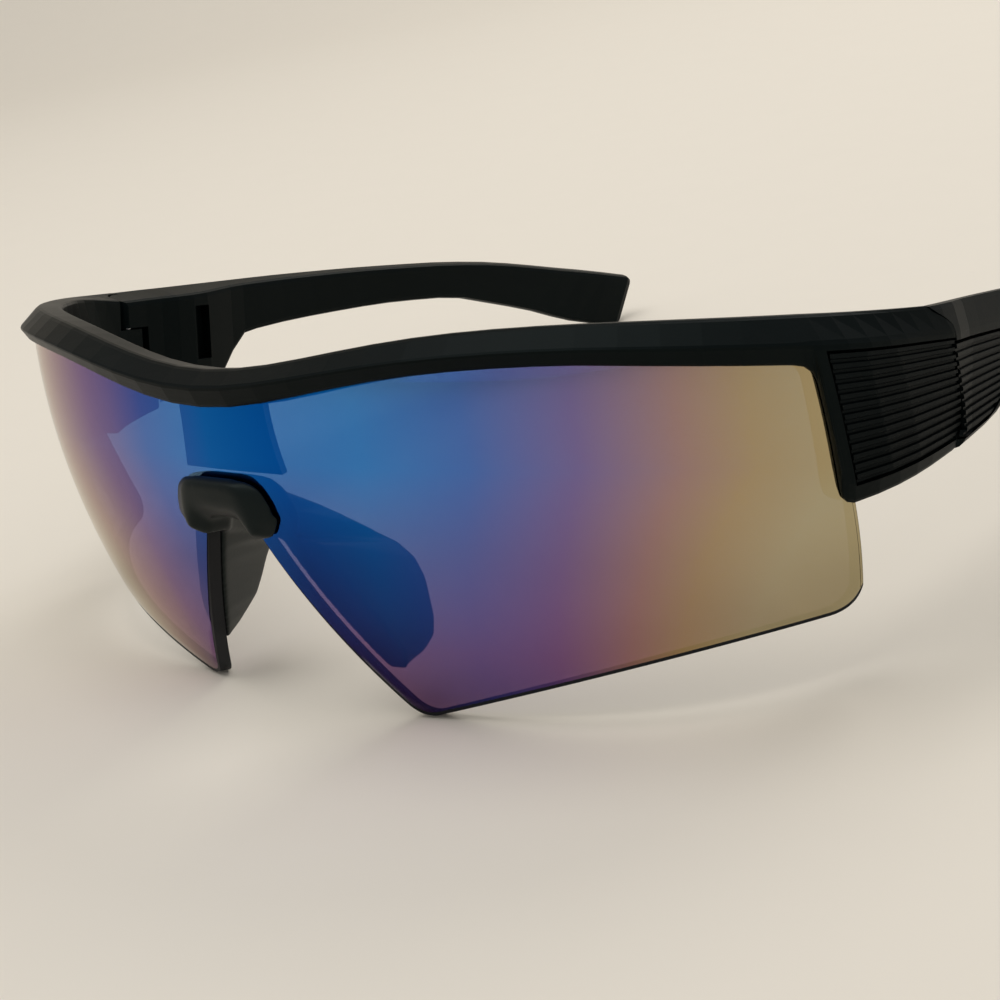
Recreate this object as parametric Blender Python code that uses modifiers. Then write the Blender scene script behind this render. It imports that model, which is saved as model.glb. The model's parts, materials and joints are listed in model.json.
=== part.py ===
"""Wraparound sport sunglasses: a one-piece toric shield lens under a half frame, with folding temples.

Metres. The glasses are drawn as worn, X towards the wearer's left, Y back along the temples and Z up,
with the origin between the hinges. They are then tipped to stand on a table on the lens corners and
the temple tips.
"""
import math

import bmesh
import bpy
from mathutils import Matrix, Vector

# The wrap: in plan the lens front is an ellipse, and up and down it sinks back on a crown
WRAP_HALF_WIDTH = 0.0721
WRAP_DEPTH = 0.0503
WRAP_FRONT_SHARE = 0.833
WRAP_FRONT_Y = -WRAP_DEPTH * WRAP_FRONT_SHARE
WRAP_LEVEL_Z = -0.0096
CROWN_RADIUS = 0.0833
CROWN_APEX_Z = 0.00165

# Running and seating gaps
SEAT_GAP = 0.0003
GROOVE_GAP = 0.00025
CUT_OVERRUN = 0.004

# Rounding and shading
ROUND_LIMIT_SHARE = 0.45
SHARP_DEGREES = 32
BORE_SIDES = 20
TURNED_SIDES = 16

# Shield lens
LENS_THICKNESS = 0.0020
LENS_TUCK = 0.0016
LENS_SIDE_TOP_ANGLE = 1.112
LENS_SIDE_LOW_ANGLE = 1.302
LENS_LOW_Z = -0.0480
LENS_OUTER_LOW_Z = -0.0337
LENS_NOSE_CORNER_RADIUS = 0.0020
LENS_OUTER_CORNER_RADIUS = 0.0032
NOTCH_TOP_Z = -0.0214
NOTCH_TOP_RADIUS = 0.0050
NOTCH_EDGE_X = 0.0050
NOTCH_EDGE_Z = -0.0260
NOTCH_SPLAY_SHARE = 0.50
NOTCH_BOW_RADIUS = 0.111
LENS_ROWS = 7
LENS_LOW_COLUMNS = 11
LENS_NOSE_CORNER_SHARE = 1.3
LENS_OUTER_CORNER_RUN_SHARE = 0.6
LENS_OUTER_CORNER_RISE_SHARE = 0.9
NOTCH_TOP_DEGREES = 62

# Brow bar: heights at the ends, and how far the middle dips to the bridge
BROW_TOP_Z = 0.0
BROW_TOP_DIP = 0.00545
BROW_TOP_SPREAD = 0.0259
CREASE_Z = -0.00252
CREASE_DIP = 0.00494
CREASE_SPREAD = 0.0257
CREASE_FALL_SHARE = 0.03
BROW_LOW_Z = -0.0043
BROW_LOW_DIP = 0.0056
BROW_LOW_SPREAD = 0.0240
BROW_LOW_FALL_SHARE = 0.05
BROW_FALL_START = 0.045
BROW_TOP_PROUD = -0.0009
CREASE_PROUD = 0.0018
BROW_LOW_PROUD = 0.00055
BROW_BACK_PROUD = -0.0042
BROW_BACK_DROP = 0.0002
SEAM_BACK_DROP = 0.0014
BROW_LIP_RISE = 0.0002
BROW_ROUND = 0.0005
BROW_STEPS = 15
CREASE_ROUND = 0.0006

# End pieces, which drop beside the lens and carry the hinge barrels
END_DEPTH = 0.0208
END_TOP_ANGLE = 1.080
END_LOW_ANGLE = 1.194
END_LEAD_ANGLE = 0.035
END_CORNER_RADIUS = 0.0020
END_FOOT_RADIUS = 0.0015
SEAM_DEPTH = 0.0166
SEAM_TOP_ANGLE = 1.40
SEAM_LOW_ANGLE = 1.59
END_OVERRUN_SHARE = 1.30
END_FACE_PROUD = 0.0012
END_OPEN_START_SHARE = 0.15
END_OPEN_RUN_SHARE = 0.5
END_CORNER_LEAD_SHARE = 0.6
END_FRONT_LEAD_SHARE = 0.5
SEAM_TOP_PROUD = -0.0017
SEAM_CREASE_PROUD = -0.00087
SEAM_FACE_PROUD = -0.0011
SEAM_LOW_PROUD = -0.0014
SEAM_BACK_PROUD = -0.0071
LOW_BEVEL_HEIGHT = 0.0023
SEAM_BEVEL_HEIGHT = 0.0014
LOW_BEVEL_TUCK = 0.0006

# Outer seam between end piece and temple: how far back it lies at each share of the seam depth
SEAM_LAG = 0.0094
SEAM_LAG_SHARES = ((0.0, -0.02), (0.052, 0.15), (0.093, 0.31), (0.14, 0.44), (0.19, 0.47), (0.28, 0.49),
                   (0.436, 0.61), (0.57, 0.72), (0.69, 0.81), (0.83, 0.87), (1.0, 1.0))

# Hinge: barrels on an upright pin near the inner wall
TEMPLE_INSET = 0.0012
TEMPLE_HALF_SPAN = WRAP_HALF_WIDTH - TEMPLE_INSET
HINGE_INSET = 0.0044
HINGE_X = TEMPLE_HALF_SPAN - HINGE_INSET
HINGE_Y = 0.0004
BARREL_RADIUS = 0.0023
BARREL_TOP_Z = -0.00565
BARREL_LOW_Z = -0.01135
HINGE_FOOT_Z = -0.0148
INNER_SEAM_LOW_Y = 0.0038
PIN_RADIUS = 0.0007
PIN_GAP = 0.00005
SCREW_HEAD_RADIUS = 0.0013
SCREW_HEAD_HEIGHT = 0.0008
INSERT_RADIUS = 0.0013
INSERT_HEIGHT = 0.0030
INSERT_COVER = 0.0017
SEAM_FLOOR = 0.0012

# Temples
TEMPLE_LENGTH = 0.1187
TEMPLE_LEAD = 0.0060
TEMPLE_ROOT_THICKNESS = 0.0071
TEMPLE_DEPTH = 0.0172
TEMPLE_TOP_INSET = 0.0011
TEMPLE_TOP_FALL_SHARE = 0.19
TEMPLE_CREASE_DROP = 0.0035
TEMPLE_LOW_INSET = 0.0011
TEMPLE_ROUND = 0.0007
ROOT_END_SHARE = 0.225
TIP_SLANT = 0.0050
TIP_ROUND = 0.0014
TIP_START_SHARE = 0.72
TIP_END_SHARE = 0.625
TIP_LOW_INSET_SHARE = 0.6
TEMPLE_CREASE_LIMIT_SHARE = 0.42
TEMPLE_BEVEL_LIMIT_SHARE = 0.2
TEMPLE_BEVEL_INSET_SHARE = 0.15
ROOT_STEPS = 11
REAR_STEPS = 15
TEMPLE_SPAN_SHARES = ((-0.05, 1.006), (0.035, 1.010), (0.08, 1.000), (0.33, 0.982), (0.66, 0.938),
                      (0.99, 0.866), (1.0, 0.864))
TEMPLE_THICKNESS_SHARES = ((-0.05, 1.0), (0.10, 0.97), (0.20, 0.66), (0.50, 0.52), (1.0, 0.48))
TEMPLE_TOP_SHARES = ((-0.05, -0.006), (0.0, 0.0), (0.055, 0.012), (0.158, 0.035), (0.31, 0.064),
                     (0.46, 0.076), (0.565, 0.073), (0.656, 0.052), (0.738, 0.005), (0.82, -0.064),
                     (0.912, -0.140), (1.0, -0.225))
TEMPLE_LOW_SHARES = ((-0.05, -1.08), (0.03, -1.02), (0.067, -0.975), (0.086, -0.945), (0.118, -0.89),
                     (0.148, -0.825), (0.170, -0.67), (0.182, -0.56), (0.194, -0.485), (0.215, -0.45),
                     (0.267, -0.407), (0.379, -0.349), (0.492, -0.311), (0.564, -0.308), (0.62, -0.326),
                     (0.703, -0.43), (0.787, -0.541), (0.876, -0.674), (0.954, -0.745), (1.0, -0.78))
TEMPLE_SLOT_FRONT = 0.0121
TEMPLE_SLOT_WIDTH = 0.0029
TEMPLE_SLOT_TOP = 0.0028
TEMPLE_SLOT_LOW = 0.0112
TEMPLE_SLOT_DEPTH = 0.0018

# Ribbed grips let into the end pieces and temple roots
RIB_COUNT = 13
RIB_DEPTH = 0.0003
RIB_SHARES = ((0.12, 0), (0.56, 0), (0.70, 1), (0.98, 1))
GRIP_THICKNESS = 0.0008
GRIP_SINK = 0.0001
GRIP_FRONT_MARGIN = 0.0004
GRIP_TOP_MARGIN = 0.0011
TEMPLE_GRIP_END = 0.0250
GRIP_OVERRUN_SHARE = 1.15
TEMPLE_GRIP_RUNOUT_SHARE = 0.01
RIB_RISE_SHARE = 0.20

# Nose piece: a rubber saddle clipped over the notch, with a pad down each side of the nose
NOSE_TOP_Z = -0.0181
NOSE_SIZE = 0.0100
NOSE_FRONT_PROUD = 0.0021
NOSE_INNER_PROUD = 0.0006
NOSE_EDGE_PROUD = 0.0004
NOSE_INNER_SHARES = ((0, 0.51), (0.16, 0.52), (0.28, 0.55), (0.34, 0.59), (0.37, 0.66), (0.40, 0.72),
                     (0.44, 0.78))
NOSE_RIDGE_SHARES = ((0, 0.35), (0.19, 0.35), (0.31, 0.37), (0.39, 0.42), (0.44, 0.51), (0.49, 0.60),
                     (0.52, 0.68))
NOSE_FACE_SHARES = ((0, 0.06), (0.25, 0.06), (0.39, 0.08), (0.48, 0.17), (0.53, 0.34), (0.57, 0.50),
                    (0.57, 0.64))
NOSE_EDGE_SHARES = ((0, 0), (0.33, 0), (0.58, 0.03), (0.74, 0.13), (0.84, 0.30), (0.89, 0.50), (0.74, 0.71))
NOSE_FLAP_SHARE = 0.55
PAD_THICKNESS = 0.0018
PAD_FLANGE = 0.0062
PAD_BACK_X = 0.0158
PAD_BACK_Y = -0.0370
PAD_REACH = 0.0160
PAD_BACK_TOP_Z = -0.0224
PAD_DROP = 0.0194
PAD_HIGH_Z = -0.0259
PAD_LOW_Z = -0.0420
ARCH_BACK_SHARES = ((0, 0.25, 0), (0.16, 0.28, 0.02), (0.285, 0.375, 0.062), (0.38, 0.50, 0.108),
                    (0.46, 0.625, 0.165), (0.545, 0.775, 0.237), (0.595, 0.88, 0.284))
PAD_BACK_SHARES = ((0.627, 0.9375, 0.31), (0.76, 0.9875, 0.407), (0.848, 1.0, 0.526), (0.899, 0.9875, 0.65),
                   (0.95, 0.97, 0.763), (1.0, 0.91, 0.861), (0.994, 0.79, 0.95), (0.962, 0.64, 1.0))
PAD_FLANGE_SHARES = (1.0, 1.0, 1.0, 1.0, 1.0, 0.95, 0.82, 0.5)
PAD_SWELL_SHARE = 1.2
PAD_LEAN_SHARE = 0.40
POST_TOP_Z = -0.0086
POST_FOOT_Z = NOSE_TOP_Z + SEAT_GAP
POST_HALF_WIDTH = 0.0074
POST_FLARE = 0.0010
POST_DEPTH = 0.0022
POST_TAPER = 0.0014

# Helpers


def mix(low, high, share):
    return low + (high - low) * share


def ease(share):
    share = min(max(share, 0), 1)
    return share * share * (3 - 2 * share)


def along(shares, place):
    """Height of a smooth curve through pairs of shares, with no overshoot between its points."""
    if place <= shares[0][0]:
        return shares[0][1]
    if place >= shares[-1][0]:
        return shares[-1][1]
    slopes = [(b[1] - a[1]) / (b[0] - a[0]) for a, b in zip(shares, shares[1:])]
    lean = [slopes[0]]
    for before, after in zip(slopes, slopes[1:]):
        lean.append(0 if before * after <= 0 else 2 * before * after / (before + after))
    lean.append(slopes[-1])
    for i, (a, b) in enumerate(zip(shares, shares[1:])):
        if place <= b[0]:
            run = b[0] - a[0]
            t = (place - a[0]) / run
            return ((1 + 2 * t) * (1 - t) ** 2 * a[1] + t * (1 - t) ** 2 * run * lean[i]
                    + t * t * (3 - 2 * t) * b[1] + t * t * (t - 1) * run * lean[i + 1])


def rounded(corners, radii, steps):
    """The corners of a closed section, each cut back by its radius and turned in a few steps."""
    ring = []
    for i, corner in enumerate(corners):
        if radii[i] == 0:
            ring.append(corner)
            continue
        before = corners[i - 1] - corner
        after = corners[(i + 1) % len(corners)] - corner
        reach = min(radii[i], before.length * ROUND_LIMIT_SHARE, after.length * ROUND_LIMIT_SHARE)
        start = corner + before.normalized() * reach
        end = corner + after.normalized() * reach
        for step in range(steps + 1):
            t = step / steps
            ring.append(start * (1 - t) ** 2 + corner * 2 * t * (1 - t) + end * t * t)
    return ring


def collection(name, parent=None):
    made = bpy.data.collections.new(name)
    (parent or bpy.context.scene.collection).children.link(made)
    return made


def finish_mesh(name, shape, group, doors=()):
    """Close the mesh up, turn its faces out, take out any door on the mirror plane and shade it."""
    bmesh.ops.recalc_face_normals(shape, faces=shape.faces)
    bmesh.ops.delete(shape, geom=list(doors), context="FACES")
    mesh = bpy.data.meshes.new(name)
    shape.to_mesh(mesh)
    shape.free()
    mesh.shade_smooth()
    mesh.set_sharp_from_angle(angle=math.radians(SHARP_DEGREES))
    made = bpy.data.objects.new(name, mesh)
    group.objects.link(made)
    return made


def loft(name, rings, group, open_start=False):
    """A skin over rings of equal count, closed at its ends unless it starts on the mirror plane."""
    shape = bmesh.new()
    loops = [[shape.verts.new(point) for point in ring] for ring in rings]
    count = len(rings[0])
    for one, two in zip(loops, loops[1:]):
        for i in range(count):
            j = (i + 1) % count
            shape.faces.new((one[i], one[j], two[j], two[i]))
    start = shape.faces.new(loops[0][::-1])
    shape.faces.new(loops[-1])
    return finish_mesh(name, shape, group, [start] if open_start else [])


def prism(name, outline, low, high, group):
    """An upright block on a plan outline given as (x, y) pairs."""
    return loft(name, [[Vector((x, y, z)) for x, y in outline] for z in (low, high)], group)


def mirror(made):
    step = made.modifiers.new("Mirror", "MIRROR")
    step.merge_threshold = SEAT_GAP / 30
    return made


def cut(made, cutter, operation="DIFFERENCE"):
    step = made.modifiers.new(operation.title(), "BOOLEAN")
    step.operation = operation
    step.solver = "EXACT"
    step.object = cutter


def cut_all(made, tools, group):
    """Take several cutters away in one step, from a collection of their own."""
    together = collection(f"{made.name}_cutters", group)
    for tool in tools:
        together.objects.link(tool)
    step = made.modifiers.new("Cuts", "BOOLEAN")
    step.operand_type = "COLLECTION"
    step.operation = "DIFFERENCE"
    step.solver = "EXACT"
    step.collection = together


def plastic(name, colour, roughness, metallic=0.0):
    made = bpy.data.materials.new(name)
    made.use_nodes = True
    shader = made.node_tree.nodes["Principled BSDF"]
    shader.inputs["Base Color"].default_value = (*colour, 1)
    shader.inputs["Roughness"].default_value = roughness
    shader.inputs["Metallic"].default_value = metallic
    return made


# The wrap surface


def wrap_normal(turn):
    across = math.sin(turn) / WRAP_HALF_WIDTH
    ahead = -math.cos(turn) / WRAP_DEPTH
    length = math.hypot(across, ahead)
    return Vector((across / length, ahead / length, 0))


def crown_sink(z):
    return ((CROWN_APEX_Z - z) ** 2 - (CROWN_APEX_Z - WRAP_LEVEL_Z) ** 2) / (2 * CROWN_RADIUS)


def wrap_point(turn, z, proud=0.0):
    """A point at a turn round the plan ellipse and a height, standing proud of the lens front."""
    plan = Vector((WRAP_HALF_WIDTH * math.sin(turn), WRAP_FRONT_Y + WRAP_DEPTH * (1 - math.cos(turn)), z))
    return plan + wrap_normal(turn) * (proud - crown_sink(z))


def turn_at(x, z, proud=0.0):
    turn = 0.0
    for _ in range(30):
        short = x - wrap_point(turn, z, proud).x
        turn += short / (WRAP_HALF_WIDTH * max(math.cos(turn), 0.3))
    return turn


def dipped(x, level, dip, spread, fall_share=0.0):
    """The height of a brow edge at x: level at the ends, with a round dip at the bridge."""
    fall = fall_share * max(x - BROW_FALL_START, 0)
    return level - dip * math.exp(-((x / spread) ** 2)) - fall


def brow_top(x):
    return dipped(x, BROW_TOP_Z, BROW_TOP_DIP, BROW_TOP_SPREAD)


def brow_crease(x):
    return dipped(x, CREASE_Z, CREASE_DIP, CREASE_SPREAD, CREASE_FALL_SHARE)


def brow_low(x):
    return dipped(x, BROW_LOW_Z, BROW_LOW_DIP, BROW_LOW_SPREAD, BROW_LOW_FALL_SHARE)


# Shield lens


def notch_edge(z):
    """Half width of the nose notch at a height below its round top."""
    down = NOTCH_EDGE_Z - z
    return NOTCH_EDGE_X + NOTCH_SPLAY_SHARE * down + down * down / (2 * NOTCH_BOW_RADIUS)


def arc(corner, start, end, steps):
    return [start * (1 - t) ** 2 + corner * 2 * t * (1 - t) + end * t * t
            for t in (step / steps for step in range(steps + 1))]


def lens_low_outline():
    """Lower outline of the half lens as (x, z), from the top of the nose notch to the outer corner."""
    points = []
    for step in range(6):
        swing = math.radians(NOTCH_TOP_DEGREES) * step / 5
        points.append(Vector((NOTCH_TOP_RADIUS * math.sin(swing),
                              NOTCH_TOP_Z - NOTCH_TOP_RADIUS * (1 - math.cos(swing)))))
    corner = Vector((notch_edge(LENS_LOW_Z), LENS_LOW_Z))
    for step in range(9):
        z = mix(NOTCH_EDGE_Z, LENS_LOW_Z + LENS_NOSE_CORNER_RADIUS, step / 8)
        points.append(Vector((notch_edge(z), z)))
    outer = Vector((wrap_point(LENS_SIDE_LOW_ANGLE, LENS_OUTER_LOW_Z).x, LENS_OUTER_LOW_Z))
    run = (outer - corner).normalized()
    corner_end = corner + run * LENS_NOSE_CORNER_RADIUS * LENS_NOSE_CORNER_SHARE
    points += arc(corner, points[-1], corner_end, 4)[1:]
    start = points[-1]
    near = outer - run * LENS_OUTER_CORNER_RADIUS * LENS_OUTER_CORNER_RUN_SHARE
    for step in range(1, LENS_LOW_COLUMNS + 1):
        points.append(start + (near - start) * step / LENS_LOW_COLUMNS)
    return points


def lens_solid(name, group, grow=0.0, sink=0.0):
    """The half lens, mirrored: columns from the brow down to its lower outline on the wrap surface."""
    low = lens_low_outline()
    shape = bmesh.new()
    columns = []
    for point in low:
        x, z = point
        turn_low = turn_at(x, z)
        columns.append((turn_low, z - grow))
    side = LENS_SIDE_LOW_ANGLE + grow / WRAP_DEPTH
    last_turn, last_z = columns[-1]
    corner_high = LENS_OUTER_LOW_Z + LENS_OUTER_CORNER_RADIUS * LENS_OUTER_CORNER_RISE_SHARE
    for step in range(1, 6):
        t = step / 5
        turn = last_turn * (1 - t) ** 2 + side * 2 * t * (1 - t) + side * t * t
        z = last_z * (1 - t) ** 2 + (LENS_OUTER_LOW_Z - grow) * 2 * t * (1 - t) + corner_high * t * t
        columns.append((turn, z))
    lean = (LENS_SIDE_TOP_ANGLE + grow / WRAP_DEPTH) / side
    rows = []
    for row in range(LENS_ROWS + 1):
        down = row / LENS_ROWS
        line = []
        for turn_low, z_low in columns:
            turn_top = turn_low * lean
            x_top = WRAP_HALF_WIDTH * math.sin(turn_top)
            z_top = brow_low(x_top) + LENS_TUCK + grow
            z = mix(z_top, z_low, down)
            line.append((mix(turn_top, turn_low, down), z))
        rows.append(line)
    sheets = []
    for proud in (grow - sink, -LENS_THICKNESS - grow):
        sheet = []
        for line in rows:
            points = [wrap_point(turn, z, proud) for turn, z in line]
            sheet.append([shape.verts.new(point) for point in points])
        sheets.append(sheet)
    front, back = sheets
    for i in range(LENS_ROWS):
        for j in range(len(columns) - 1):
            shape.faces.new((front[i][j], front[i + 1][j], front[i + 1][j + 1], front[i][j + 1]))
            shape.faces.new((back[i][j], back[i][j + 1], back[i + 1][j + 1], back[i + 1][j]))
    for j in range(len(columns) - 1):
        shape.faces.new((front[0][j], front[0][j + 1], back[0][j + 1], back[0][j]))
        shape.faces.new((front[-1][j], back[-1][j], back[-1][j + 1], front[-1][j + 1]))
    for i in range(LENS_ROWS):
        shape.faces.new((front[i][-1], front[i + 1][-1], back[i + 1][-1], back[i][-1]))
    doors = [shape.faces.new((front[i][0], back[i][0], back[i + 1][0], front[i + 1][0]))
             for i in range(LENS_ROWS)]
    return mirror(finish_mesh(name, shape, group, doors))


# Front frame


def end_turn(z):
    return mix(END_TOP_ANGLE, END_LOW_ANGLE, (BROW_TOP_Z - z) / END_DEPTH)


def end_low(share):
    """Height of the end piece's lower edge, from its front corner to the seam."""
    return -mix(END_DEPTH, SEAM_DEPTH, share)


def frame_section(turn_top, turn_low, z_low, end):
    """One section of the brow and end piece. end runs from 0 at the lens side to 1 at the seam."""
    blend = ease(end)
    x_top = WRAP_HALF_WIDTH * math.sin(turn_top)
    is_end = z_low is not None
    z_top = brow_top(x_top)
    z_crease = brow_crease(x_top)
    if not is_end:
        z_low = brow_low(x_top)
    drop = min(max((z_crease - z_low) / END_DEPTH, 0), 1)
    deep = ease((drop - END_OPEN_START_SHARE) / END_OPEN_RUN_SHARE)

    def at(z, proud):
        share = (z_top - z) / (z_top - z_low)
        return wrap_point(mix(turn_top, turn_low, share), z, proud)

    face = mix(mix(BROW_LOW_PROUD, END_FACE_PROUD, deep), SEAM_FACE_PROUD, blend)
    low = mix(mix(BROW_LOW_PROUD, END_FACE_PROUD - LOW_BEVEL_TUCK, deep), SEAM_LOW_PROUD, blend)
    back = mix(BROW_BACK_PROUD, SEAM_BACK_PROUD, blend)
    crease = mix(CREASE_PROUD, SEAM_CREASE_PROUD, blend)
    top = mix(BROW_TOP_PROUD, SEAM_TOP_PROUD, blend)
    bevel = mix((z_crease - z_low) / 3, mix(LOW_BEVEL_HEIGHT, SEAM_BEVEL_HEIGHT, end), deep)
    upper_face = mix(mix(crease, face, 1 / 3), face, deep)
    lower_face = mix(mix(crease, face, 2 / 3), face, deep)
    z_bevel = z_low + bevel
    z_mid = mix(z_crease, z_bevel, 0.5)
    lip = z_low - BROW_LIP_RISE * (1 - deep)
    inner = z_top - mix(BROW_BACK_DROP, SEAM_BACK_DROP, blend)
    corners = [at(z_top, top), at(z_crease, crease), at(z_mid, upper_face), at(z_bevel, lower_face),
               at(z_low, low), at(lip, back), at(mix(lip, inner, 1 / 3), back),
               at(mix(lip, inner, 2 / 3), back), at(inner, back)]
    radii = (BROW_ROUND, CREASE_ROUND, 0, 0, BROW_ROUND, BROW_ROUND, 0, 0, BROW_ROUND)
    return rounded(corners, radii, 2)


def frame_rings():
    rings = []
    for step in range(BROW_STEPS + 1):
        turn = (END_TOP_ANGLE - END_LEAD_ANGLE) * step / BROW_STEPS
        rings.append(frame_section(turn, turn, None, 0))
    arc_turn = END_CORNER_RADIUS / WRAP_DEPTH
    z_side = brow_low(WRAP_HALF_WIDTH * math.sin(END_TOP_ANGLE))
    corner = (end_turn(z_side), z_side)
    start = (corner[0] - arc_turn, z_side)
    finish = (end_turn(z_side - END_CORNER_RADIUS), z_side - END_CORNER_RADIUS)
    spots = []
    for step in range(4):
        t = step / 3
        spots.append(tuple(start[k] * (1 - t) ** 2 + corner[k] * 2 * t * (1 - t) + finish[k] * t * t
                           for k in (0, 1)))
    foot = (END_LOW_ANGLE, -END_DEPTH)
    high = (end_turn(END_FOOT_RADIUS - END_DEPTH), END_FOOT_RADIUS - END_DEPTH)
    spots += [tuple(mix(finish[k], high[k], step / 4) for k in (0, 1)) for step in (1, 2, 3)]
    after = end_spot(0)[1:3]
    for step in range(4):
        t = step / 3
        spots.append(tuple(high[k] * (1 - t) ** 2 + foot[k] * 2 * t * (1 - t) + after[k] * t * t
                           for k in (0, 1)))
    for step, (turn, z) in enumerate(spots):
        if step < 4:
            lead = END_CORNER_LEAD_SHARE * (step / 3 - 1)
        else:
            lead = END_FRONT_LEAD_SHARE * (step - 3) / (len(spots) - 4)
        turn_top = END_TOP_ANGLE + arc_turn * lead
        rings.append(frame_section(turn_top, turn, z, 0))
    for step in range(1, 9):
        rings.append(frame_section(*end_spot(END_OVERRUN_SHARE * step / 8)))
    for point in rings[0]:
        point.x = 0
    return rings


def seam_y(z):
    return SEAM_LAG * along(SEAM_LAG_SHARES, -z / SEAM_DEPTH)


def quarter(centre, radius, first, last, steps=8):
    """Points of an arc about a centre, from one angle in degrees to another."""
    return [(centre[0] + radius * math.cos(math.radians(mix(first, last, step / steps))),
             centre[1] + radius * math.sin(math.radians(mix(first, last, step / steps))))
            for step in range(steps + 1)]


def seam_line(z, shift, upper):
    """Plan line of the seam at a height, from outside to inside, moved back by shift."""
    reach = TEMPLE_HALF_SPAN + CUT_OVERRUN
    inside = HINGE_X - BARREL_RADIUS * 4
    outer_y = seam_y(z) + shift
    if upper:
        radius = BARREL_RADIUS + SEAT_GAP - shift
        line = [(reach, outer_y), (HINGE_X + radius, max(outer_y, HINGE_Y))]
        line += quarter((HINGE_X, HINGE_Y), radius, 0, -90)[1:]
        if shift:
            line += quarter((HINGE_X, HINGE_Y), radius, -90, -180)[1:]
        return line + [(inside, line[-1][1])]
    low_y = INNER_SEAM_LOW_Y + shift
    inner_x = HINGE_X - BARREL_RADIUS
    slope = (outer_y - low_y) / (TEMPLE_HALF_SPAN - inner_x)
    return [(x, outer_y + slope * (x - TEMPLE_HALF_SPAN)) for x in (reach, inside)]


def seam_block(name, side, group, upper, shift=0.0, behind=True):
    """A block that fills all behind, or all ahead of, the seam, above or below the hinge foot."""
    foot = HINGE_FOOT_Z + shift
    lap = SEAT_GAP / 10
    if upper:
        levels = [CUT_OVERRUN, 0.0]
        levels += [-share * SEAM_DEPTH for share, _ in SEAM_LAG_SHARES[1:] if -share * SEAM_DEPTH > foot]
        levels += [foot]
    else:
        levels = [HINGE_FOOT_Z + SEAT_GAP + lap, -SEAM_DEPTH, -END_DEPTH - CUT_OVERRUN]
    far = TEMPLE_LENGTH + CUT_OVERRUN if behind else WRAP_FRONT_Y
    rings = []
    for z in levels:
        line = seam_line(z, shift, upper)
        line += [(line[-1][0], far), (line[0][0], far)]
        rings.append([Vector((side * x, y, z)) for x, y in line])
    return loft(name, rings, group)


def upright(name, x, y, radius, low, high, group, sides=BORE_SIDES):
    """A plain upright cylinder, made as a primitive."""
    shape = bmesh.new()
    bmesh.ops.create_cone(shape, cap_ends=True, segments=sides, radius1=radius, radius2=radius,
                          depth=high - low)
    bmesh.ops.translate(shape, verts=shape.verts, vec=(x, y, (low + high) / 2))
    return finish_mesh(name, shape, group)


def end_spot(share):
    """Turns and lower edge of the end piece at a share of its run from the front corner to the seam."""
    first_top = END_TOP_ANGLE + END_CORNER_RADIUS / WRAP_DEPTH / 2
    turn_top = mix(first_top, SEAM_TOP_ANGLE, share)
    turn_low = mix(END_LOW_ANGLE + END_FOOT_RADIUS / WRAP_DEPTH, SEAM_LOW_ANGLE, share)
    return turn_top, turn_low, end_low(share), share


def end_face(share, down, sink):
    """A point on the ribbed face of the end piece, from its crease down to the lower bevel."""
    turn_top, turn_low, z_low, end = end_spot(share)
    x_top = WRAP_HALF_WIDTH * math.sin(turn_top)
    z_top = brow_top(x_top)
    high = brow_crease(x_top)
    low = z_low + mix(LOW_BEVEL_HEIGHT, SEAM_BEVEL_HEIGHT, end)
    z = mix(high, low, down)
    blend = ease(end)
    face = mix(END_FACE_PROUD, SEAM_FACE_PROUD, blend)
    crease = mix(CREASE_PROUD, SEAM_CREASE_PROUD, blend)
    proud = mix(crease, face, min(down * 2, 1)) - sink
    return wrap_point(mix(turn_top, turn_low, (z_top - z) / (z_top - z_low)), z, proud)


def ribbed(face, first, last, sink, back):
    """A ribbed section: crests and grooves down the face, then a plain back."""
    points = []
    for rib in range(RIB_COUNT):
        for share, depth in RIB_SHARES:
            points.append(face(mix(first, last, (rib + share) / RIB_COUNT), sink + depth * RIB_DEPTH))
    return points + [face(mix(last, first, step / 2), back) for step in range(3)]


def end_grip(name, side, group, grow=0.0):
    """The ribbed inlay of an end piece or, grown by a gap, the pocket that it sits in."""
    run = (SEAM_LOW_ANGLE - END_LOW_ANGLE) * WRAP_DEPTH
    height = END_DEPTH - LOW_BEVEL_HEIGHT
    start = (GRIP_FRONT_MARGIN - grow) / run
    top = (GRIP_TOP_MARGIN - grow) / height
    low = 1 + grow / height
    rings = []
    for step in range(6):
        share = mix(start, END_OVERRUN_SHARE, step / 5)

        def face(down, sink, share=share):
            return end_face(share, down, sink)

        if grow:
            ring = [face(mix(top, low, step / 6), -CUT_OVERRUN / 4) for step in range(7)]
            ring += [face(mix(low, top, step / 4), GRIP_THICKNESS + grow) for step in range(5)]
        else:
            ring = ribbed(face, top, low, GRIP_SINK, GRIP_THICKNESS)
        rings.append([Vector((side * point.x, point.y, point.z)) for point in ring])
    return loft(name, rings, group)


# Temples


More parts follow.
